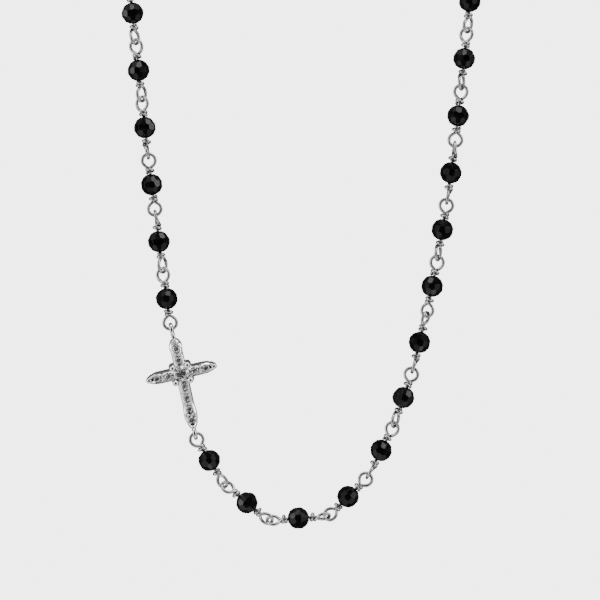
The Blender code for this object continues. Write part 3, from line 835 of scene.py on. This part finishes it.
def make_prongs():
    """Small balls in pairs between the stones, and the bigger ball or bead at the end of each arm."""
    form = bmesh.new()
    for turn, reach, places in arm_frames():
        for x in [place + STONE_SPACING / 2 for place in places]:
            for side in (-1, 1):
                centre = turn @ Vector((x, side * SMALL_PRONG_OFFSET, CROSS_TOP - SMALL_PRONG_SINK))
                if x < reach - PRONG_FREE_END:
                    add_ball(form, SMALL_PRONG_RADIUS, centre, CROSS_GROOVE)
        side_arm = reach == SIDE_ARM
        radius = TIP_BALL_RADIUS if side_arm else END_BEAD_RADIUS
        x = reach + (TIP_BALL_OVERHANG if side_arm else 0.0)
        centre = turn @ Vector((x, 0.0, CROSS_TOP - radius * END_BALL_SINK))
        add_ball(form, radius, centre, END_BALL_BOTTOM)
    return mesh_of(form, "prongs")


def make_centre_seat():
    """The cup that holds the centre stone, with its four ball prongs."""
    form = bmesh.new()
    add_turned(form, CENTRE_SEAT_PROFILE, Matrix.Identity(4), ROUND_SIDES)
    for quarter in range(4):
        angle = math.radians(45 + 90 * quarter)
        centre = Vector((math.cos(angle), math.sin(angle), 0.0)) * PRONG_BALL_CIRCLE
        centre.z = PRONG_BALL_Z
        add_ball(form, PRONG_BALL_RADIUS, centre, PRONG_BALL_BOTTOM, PRONG_BALL_FLARE)
    return mesh_of(form, "seat")


def make_eyes():
    """The eyelets on edge at the top and the foot, each on its stem."""
    form = bmesh.new()
    for sign, eye_x, reach in ((1, TOP_EYE_X, TOP_ARM), (-1, FOOT_EYE_X, FOOT_ARM)):
        path = []
        for k in range(EYE_STEPS):
            angle = 2 * math.pi * k / EYE_STEPS
            x = sign * eye_x + EYE_RADIUS * math.cos(angle)
            path.append((x, 0.0, EYE_HEIGHT + EYE_RADIUS * math.sin(angle)))
        add_tube(form, path, 1.0, BAR_SIDES, closed=True, section=EYE_SECTION, side=ALONG_X)
        stem_start = (sign * (reach - EYE_STEM_OVERLAP), 0.0, EYE_STEM_HEIGHT)
        stem_end = (sign * (eye_x - EYE_RADIUS), 0.0, EYE_HEIGHT)
        add_tube(form, [stem_start, stem_end], EYE_STEM_RADIUS, BAR_SIDES)
    return mesh_of(form, "eyes")


def make_brilliant(radius):
    """A round brilliant: octagon table, kites and girdle above, pavilion down to a point."""
    form = bmesh.new()
    crown = CROWN_SHARE * radius
    table = TABLE_SHARE * radius
    kite = KITE_SHARE * radius
    for k in range(8):
        angle = math.radians(45 * k)
        form.verts.new((table * math.cos(angle), table * math.sin(angle), crown))
        angle = math.radians(45 * k + 22.5)
        form.verts.new((kite * math.cos(angle), kite * math.sin(angle), crown * KITE_HEIGHT_SHARE))
    for k in range(16):
        angle = math.radians(22.5 * k)
        for height in (GIRDLE_SHARE, -GIRDLE_SHARE):
            form.verts.new((radius * math.cos(angle), radius * math.sin(angle), height * radius))
    form.verts.new((0.0, 0.0, -PAVILION_SHARE * radius))
    bmesh.ops.convex_hull(form, input=form.verts[:])
    bmesh.ops.dissolve_limit(form, angle_limit=math.radians(1.0), verts=form.verts, edges=form.edges)
    return mesh_of(form, "stone")


def cross_lean():
    """The cross leans back: what is lower lies further up the top arm's way."""
    lean = Matrix.Identity(4)
    lean[0][2] = -CROSS_LEAN
    lean[0][3] = CROSS_LEAN * CROSS_TOP * MM
    return lean


def add_cross():
    """The casting, its prongs, seat and eyelets, and its eleven stones."""
    level = cross_place()
    place = level @ cross_lean()
    add_piece("cross_casting", make_casting(), "silver", "cross", ("cross",), place)
    add_piece("cross_prongs", make_prongs(), "silver", "cross", (), place)
    add_piece("cross_centre_seat", make_centre_seat(), "silver", "cross", (), place)
    add_piece("cross_eyes", make_eyes(), "silver", "cross", (), level)
    centre = place @ Matrix.Translation(Vector((0.0, 0.0, CENTRE_GIRDLE_Z)) * MM)
    add_piece("centre_stone_look", make_brilliant(CENTRE_STONE_RADIUS), "clear_stone", "cross",
              ("centre_stone",), centre, smooth=False)
    for number, (seat, radius) in enumerate(stone_seats(), 1):
        spot = place @ Matrix.Translation(seat * MM)
        spot = spot @ Matrix.Rotation(RANDOM.uniform(0.0, math.pi / 4), 4, "Z")
        add_piece(f"arm_stone_{number:02d}", make_brilliant(radius), "clear_stone", "cross", (), spot,
                  smooth=False)


# ---------------------------------------------------------------- rings and clasp

def ring_path(radius, count=RING_STEPS, start=0.0, sweep=360.0):
    """Points round a circle that touches the hinge at the origin, lying flat."""
    points = []
    for k in range(count):
        angle = math.radians(start + sweep * k / count)
        points.append((radius + radius * math.cos(angle), radius * math.sin(angle), 0.0))
    return points


def add_rings():
    """The jump ring with its cut seam at one side, and the closed end ring."""
    radius, wire = JUMP_RING
    form = bmesh.new()
    path = ring_path(radius, JUMP_RING_STEPS, 90.0 + JUMP_RING_SEAM, 360.0 - 2 * JUMP_RING_SEAM)
    add_tube(form, path, wire, BAR_SIDES)
    add_piece("jump_ring_look", mesh_of(form, "ring"), "silver", "jump_ring", ("jump_ring",),
              link_place("jump_ring"))
    radius, wire = END_RING
    form = bmesh.new()
    add_tube(form, ring_path(radius), wire, BAR_SIDES, closed=True)
    add_piece("end_ring_look", mesh_of(form, "ring"), "silver", "end_ring", ("end_ring",),
              link_place("end_ring"))


def clasp_place():
    """The clasp's frame, from its tail's hinge, found from where its rivet is."""
    hinge = Vector(hook_of("clasp_body")["pos_m"])
    away = Vector(hook_of("clasp_lever")["pos_m"]) - hinge
    heading = math.atan2(away.y, away.x) - math.atan2(LEVER_PIVOT[1], LEVER_PIVOT[0])
    return Matrix.Translation(hinge) @ Matrix.Rotation(heading, 4, "Z")


def bow_path(start, end, count):
    """Points along the clasp's bow between two angles in degrees."""
    points = []
    for k in range(count + 1):
        angle = math.radians(start + (end - start) * k / count)
        x = CLASP_BOW_X + CLASP_BOW_LENGTH * math.cos(angle)
        points.append((x, CLASP_BOW_WIDTH * math.sin(angle), 0.0))
    return points


def tapered(size, count):
    """Sizes along a bar that narrows evenly."""
    return [size - BAR_TAPER * k / count for k in range(count + 1)]


def disc_profile(radius, half_height, rounding):
    """A flat disc with rounded edges, from its top down."""
    chamfer = rounding * CHAMFER_SHARE
    half = [
        (0.0, half_height),
        (radius - rounding, half_height),
        (radius - chamfer, half_height - chamfer),
        (radius, half_height - rounding),
    ]
    return half + [(x, -z) for x, z in reversed(half)]


def slot_cutter(middle, size):
    """A box across the clasp's head, as high as its slot."""
    form = bmesh.new()
    bmesh.ops.create_cube(form, size=1.0)
    bmesh.ops.scale(form, vec=(*size, 2 * CLASP_SLOT_HALF_HEIGHT), verts=form.verts)
    bmesh.ops.translate(form, vec=(*middle, 0.0), verts=form.verts)
    return form


def make_clasp_body():
    """The clasp: a round slotted head, a bow that narrows to its tip, and a ring at its tail."""
    head = bmesh.new()
    profile = disc_profile(CLASP_HEAD_RADIUS, CLASP_HALF_HEIGHT, CLASP_HEAD_ROUNDING)
    add_turned(head, profile, Matrix.Translation((CLASP_HEAD_X, 0.0, 0.0)), ROUND_SIDES)
    bow = bmesh.new()
    section = (CLASP_BAR_RADIUS, CLASP_HALF_HEIGHT * CLASP_BAR_HEIGHT)
    sizes = tapered(CLASP_BOW_ROOT, CLASP_BOW_ARC[2])
    add_tube(bow, bow_path(*CLASP_BOW_ARC), sizes, sides=20, section=section, side=ALONG_X)
    tail = bmesh.new()
    radius, wire = CLASP_TAIL
    edge_on = [(x, z, y) for x, y, z in ring_path(radius, CLASP_TAIL_STEPS)]
    add_tube(tail, edge_on, wire, BAR_SIDES, closed=True)
    joined = united(head, bow, tail)
    for middle, size in CLASP_SLOTS:
        joined = cut(joined, slot_cutter(middle, size))
    return joined


def make_clasp_lever():
    """The gate on its rivet, with a ridged thumb tab."""
    x, y = LEVER_PIVOT
    eye = bmesh.new()
    add_turned(eye, disc_profile(LEVER_EYE_RADIUS, LEVER_HALF_HEIGHT, LEVER_EYE_ROUNDING), Matrix.Identity(4))
    gate = bmesh.new()
    path = [(px - x, py - y, 0.0) for px, py, _ in bow_path(*GATE_ARC)]
    section = (CLASP_BAR_RADIUS, LEVER_HALF_HEIGHT / GATE_ROOT)
    add_tube(gate, path, tapered(GATE_ROOT, GATE_ARC[2]), sides=16, section=section, side=ALONG_X)
    tab = bmesh.new()
    tab_end = Vector((THUMB_TAB[0] - x, THUMB_TAB[1] - y, 0.0))
    steps = len(THUMB_TAB_SIZES) - 1
    path = [tab_end * (k / steps) for k in range(steps + 1)]
    section = (THUMB_TAB_HALF_WIDTH, LEVER_HALF_HEIGHT * THUMB_TAB_HEIGHT)
    add_tube(tab, path, THUMB_TAB_SIZES, sides=16, section=section, side=ALONG_X)
    drill = bmesh.new()
    profile = ((0.0, 1.0), (RIVET_HOLE_RADIUS, 1.0), (RIVET_HOLE_RADIUS, -1.0), (0.0, -1.0))
    add_turned(drill, profile, Matrix.Identity(4))
    return cut(united(eye, gate, tab), drill)


def make_rivet():
    """A rivet with a domed head at each end."""
    form = bmesh.new()
    top = CLASP_HALF_HEIGHT + RIVET_RISE
    half = [(radius, top + height) for radius, height in RIVET_HEAD]
    profile = half + [(radius, -height) for radius, height in reversed(half)]
    add_turned(form, profile, Matrix.Identity(4), sides=24)
    return mesh_of(form, "rivet")


def make_spring():
    """A small coil with two straight legs."""
    form = bmesh.new()
    path = [Vector((-SPRING_RADIUS, -SPRING_LEG, -SPRING_HALF_HEIGHT))]
    for k in range(SPRING_STEPS + 1):
        part = k / SPRING_STEPS
        angle = math.pi + 2 * math.pi * SPRING_TURNS * part
        height = 2 * SPRING_HALF_HEIGHT * part - SPRING_HALF_HEIGHT
        path.append(Vector((SPRING_RADIUS * math.cos(angle), SPRING_RADIUS * math.sin(angle), height)))
    path.append(Vector((SPRING_RADIUS, SPRING_LEG, SPRING_HALF_HEIGHT)))
    add_tube(form, path, SPRING_WIRE_RADIUS, sides=8)
    return mesh_of(form, "spring")


def add_clasp():
    """The clasp's body, lever, rivet and spring."""
    place = clasp_place()
    pivot = place @ Matrix.Translation(Vector((*LEVER_PIVOT, 0.0)) * MM)
    coil = place @ Matrix.Translation(Vector((*SPRING_CENTRE, 0.0)) * MM)
    add_piece("clasp_body_look", make_clasp_body(), "silver", "clasp_body", ("clasp_body",), place)
    add_piece("clasp_lever_look", make_clasp_lever(), "silver", "clasp_lever", ("clasp_lever",), pivot)
    add_piece("clasp_rivet_look", make_rivet(), "silver", "clasp_body", ("clasp_rivet",), pivot)
    add_piece("clasp_spring_look", make_spring(), "spring_steel", "clasp_body", ("clasp_spring",), coil)


# ---------------------------------------------------------------- camera, floor and light

def add_camera():
    """Straight above, with a long lens, framed as wide as the view at the height of the beads."""
    low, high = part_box(LOWEST_BEAD)
    target = (low + high) / 2 + VIEW_OFFSET
    data = bpy.data.cameras.new("camera")
    data.lens = LENS
    data.sensor_width = SENSOR
    data.clip_start, data.clip_end = CLIP
    camera = bpy.data.objects.new("camera", data)
    camera.location = target + Vector((0.0, 0.0, VIEW_WIDTH * LENS / SENSOR))
    bpy.context.scene.collection.objects.link(camera)
    bpy.context.scene.camera = camera


def add_floor():
    """A wide floor far enough below the necklace that no pose swings through it."""
    form = bmesh.new()
    bmesh.ops.create_grid(form, x_segments=FLOOR_CELLS, y_segments=FLOOR_CELLS, size=FLOOR_SIZE / 2)
    mesh = bpy.data.meshes.new("floor")
    form.to_mesh(mesh)
    form.free()
    mesh.materials.append(floor_material())
    floor = bpy.data.objects.new("floor", mesh)
    floor.location.z = -FLOOR_DROP
    bpy.context.scene.collection.objects.link(floor)


def add_softbox(name, place, size, power):
    """A rectangular soft light that faces the object's middle."""
    data = bpy.data.lights.new(name, "AREA")
    data.shape = "RECTANGLE"
    data.size, data.size_y = size
    data.energy = power
    lamp = bpy.data.objects.new(name, data)
    lamp.location = place
    lamp.rotation_mode = "QUATERNION"
    lamp.rotation_quaternion = Vector(place).to_track_quat("Z", "Y")
    lamp.visible_camera = False
    bpy.context.scene.collection.objects.link(lamp)


def add_world():
    """A light tent with broad folds: bright round its sides and dark straight above."""
    world = bpy.data.worlds.new("tent")
    bpy.context.scene.world = world
    world.use_nodes = True
    nodes, links = world.node_tree.nodes, world.node_tree.links
    coordinates = nodes.new("ShaderNodeTexCoord")
    split = nodes.new("ShaderNodeSeparateXYZ")
    links.new(coordinates.outputs["Generated"], split.inputs["Vector"])
    greys = ramp(world, split.outputs["Z"], [(height, (grey, grey, grey)) for height, grey in TENT_STOPS])
    links.new(greys, nodes["Background"].inputs["Color"])
    folds = nodes.new("ShaderNodeTexNoise")
    folds.noise_dimensions = "4D"
    folds.inputs["W"].default_value = TENT_SEED
    folds.inputs["Scale"].default_value = TENT_FOLD_SCALE
    folds.inputs["Detail"].default_value = 1.0
    links.new(coordinates.outputs["Generated"], folds.inputs["Vector"])
    strength = spread(world, folds.outputs["Fac"], TENT_DARK, TENT_BRIGHT, TENT_FOLD_RANGE)
    links.new(strength, nodes["Background"].inputs["Strength"])


MATERIALS = {
    "silver": silver(),
    "drawn_silver": drawn_silver(),
    "black_stone": black_stone(),
    "clear_stone": clear_stone(),
    "spring_steel": spring_steel(),
}
BEADS = [cut_bead() for _ in range(BEAD_CUTS)]
add_strand("left", "jump_ring", BEADS)
add_strand("right", "end_ring", BEADS)
add_cross()
add_rings()
add_clasp()
add_camera()
add_floor()
add_world()
for softbox in SOFTBOXES:
    add_softbox(*softbox)
